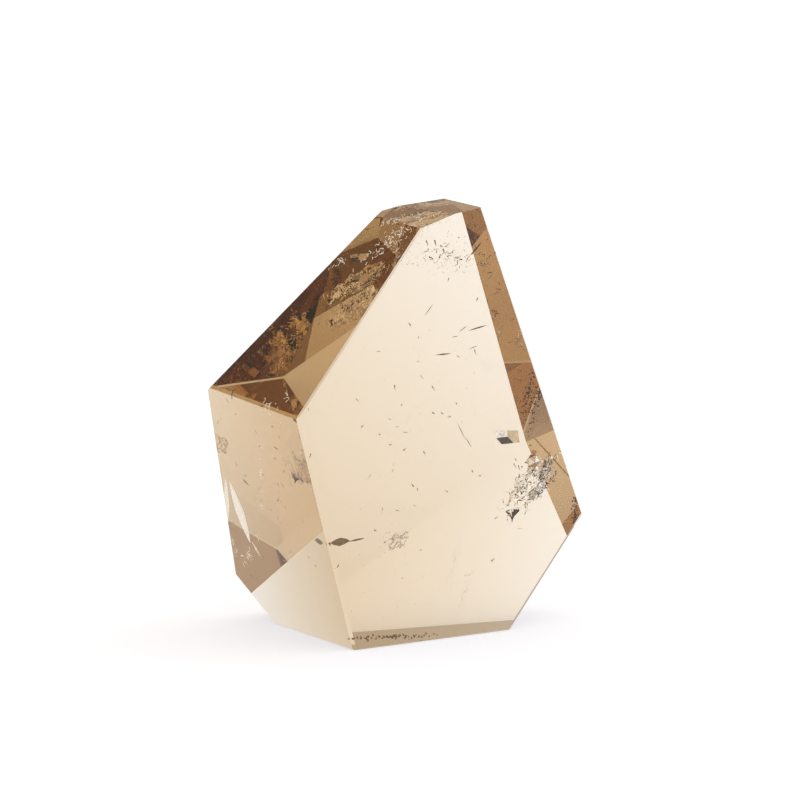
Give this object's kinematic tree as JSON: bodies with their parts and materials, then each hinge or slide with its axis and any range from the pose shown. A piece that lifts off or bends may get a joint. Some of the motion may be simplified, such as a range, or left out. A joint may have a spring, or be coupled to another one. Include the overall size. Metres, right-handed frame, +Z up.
{
  "type": "citrine crystal point",
  "caption": "Free-standing polished point of clear honey-brown citrine quartz, ground with flat facets and standing on a flat base.",
  "frame": {"origin": "on the surface that the stone stands on, under the middle of its bounding box", "axes": "+Z up out of the flat base, -Y towards a viewer in front, +X to that viewer's right; the broad front face looks 32 degrees round from -Y towards +X"},
  "size_m": [0.0482, 0.0338, 0.0564],
  "materials": {
    "citrine": "polished"
  },
  "bodies": {
    "root": {"crystal_point": "citrine"}
  },
  "joints": []
}
